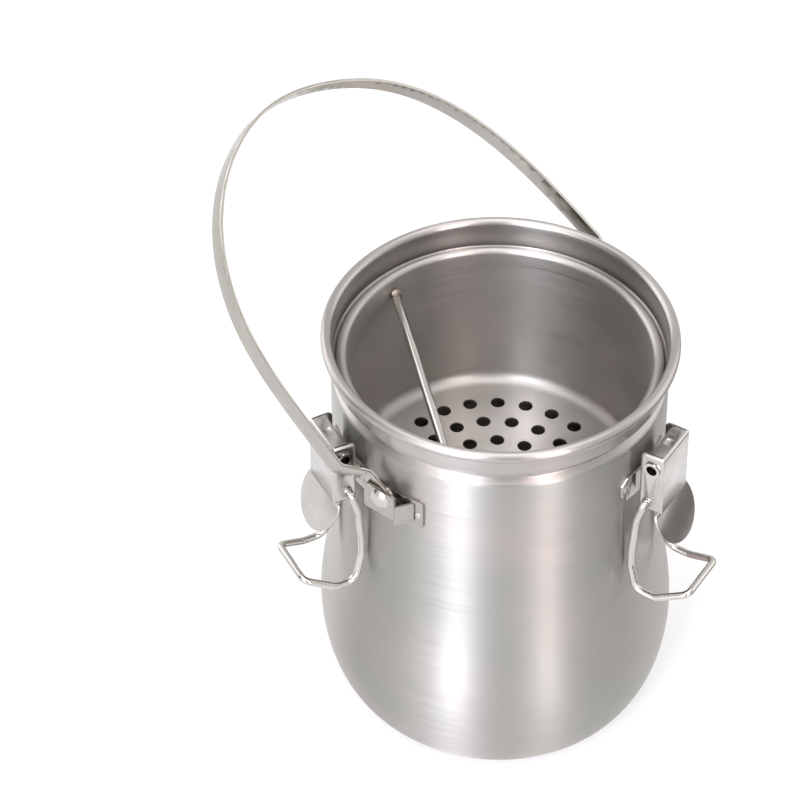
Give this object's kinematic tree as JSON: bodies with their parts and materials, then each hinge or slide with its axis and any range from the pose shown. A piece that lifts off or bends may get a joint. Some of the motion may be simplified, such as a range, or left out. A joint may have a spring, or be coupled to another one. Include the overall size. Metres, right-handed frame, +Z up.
{
  "type": "brush washer",
  "caption": "Steel brush-washing pot with a lift-out strainer cup, crossbar, swinging bail handle, toggle clamps and a separate lid.",
  "frame": {"origin": "centre of the flat base, where the pot stands on the table", "axes": "+Z up along the pot's axis, -Y towards the front of the picture, +X to its right"},
  "size_m": [0.1708, 0.2589, 0.2084],
  "materials": {
    "pot_steel": "warm grey sheet, fine brushing running round, polished lip",
    "cup_steel": "bright spun sheet",
    "polished_wire": "polished round wire and rod",
    "strap_steel": "polished flat strap",
    "latch_steel": "bright pressed sheet",
    "bracket_steel": "pressed sheet, spot welded",
    "rivet_steel": "polished heads",
    "lid_steel": "brushed in circles",
    "gasket_rubber": "matte black"
  },
  "bodies": {
    "vessel": {"pot": "pot_steel", "bail_lug_front": "bracket_steel", "bail_lug_rear": "bracket_steel", "bail_rivet_front": "rivet_steel", "bail_rivet_rear": "rivet_steel", "clamp_base_left": "bracket_steel", "clamp_base_right": "bracket_steel", "clamp_base_rear": "bracket_steel", "clamp_pin_left": "rivet_steel", "clamp_pin_right": "rivet_steel", "clamp_pin_rear": "rivet_steel"},
    "strainer": {"strainer_cup": "cup_steel", "strainer_crossbar": "polished_wire"},
    "bail": {"bail_strap": "strap_steel"},
    "lid": {"lid_pan": "lid_steel", "lid_gasket": "gasket_rubber"},
    "lever_left": {"clamp_lever_left": "latch_steel", "clamp_thumb_left": "latch_steel"},
    "loop_left": {"clamp_loop_left": "polished_wire"},
    "lever_right": {"clamp_lever_right": "latch_steel", "clamp_thumb_right": "latch_steel"},
    "loop_right": {"clamp_loop_right": "polished_wire"},
    "lever_rear": {"clamp_lever_rear": "latch_steel", "clamp_thumb_rear": "latch_steel"},
    "loop_rear": {"clamp_loop_rear": "polished_wire"}
  },
  "joints": [
    {"name": "bail_swing", "type": "hinge", "parent": "vessel", "child": "bail", "pos_m": [0, 0, 0.1283], "axis": [0.6088, 0.7934, 0], "range_deg": [0, 104]},
    {"name": "strainer_lift", "type": "slide", "parent": "vessel", "child": "strainer", "axis": [0, 0, 1], "range_m": [0, 0.07]},
    {"name": "lid_lift", "type": "slide", "parent": "vessel", "child": "lid", "axis": [0, 0, 1], "range_m": [0, 0.06]},
    {"name": "lever_left_lift", "type": "hinge", "parent": "vessel", "child": "lever_left", "pos_m": [-0.05491, -0.0317, 0.1347], "axis": [-0.5, 0.866, 0], "range_deg": [0, 90]},
    {"name": "loop_left_hang", "type": "hinge", "parent": "lever_left", "child": "loop_left", "pos_m": [-0.05335, -0.0308, 0.1186], "axis": [-0.5, 0.866, 0], "range_deg": [-90, 0]},
    {"name": "lever_right_lift", "type": "hinge", "parent": "vessel", "child": "lever_right", "pos_m": [0.05491, -0.0317, 0.1347], "axis": [-0.5, -0.866, 0], "range_deg": [0, 90]},
    {"name": "loop_right_hang", "type": "hinge", "parent": "lever_right", "child": "loop_right", "pos_m": [0.05335, -0.0308, 0.1186], "axis": [-0.5, -0.866, 0], "range_deg": [-90, 0]},
    {"name": "lever_rear_lift", "type": "hinge", "parent": "vessel", "child": "lever_rear", "pos_m": [0, 0.0634, 0.1347], "axis": [1, 0, 0], "range_deg": [0, 90]},
    {"name": "loop_rear_hang", "type": "hinge", "parent": "lever_rear", "child": "loop_rear", "pos_m": [0, 0.0616, 0.1186], "axis": [1, 0, 0], "range_deg": [-90, 0]}
  ],
  "couplings": [
    {"joint": "loop_left_hang", "follows": "lever_left_lift", "ratio": -1},
    {"joint": "loop_right_hang", "follows": "lever_right_lift", "ratio": -1},
    {"joint": "loop_rear_hang", "follows": "lever_rear_lift", "ratio": -1}
  ]
}
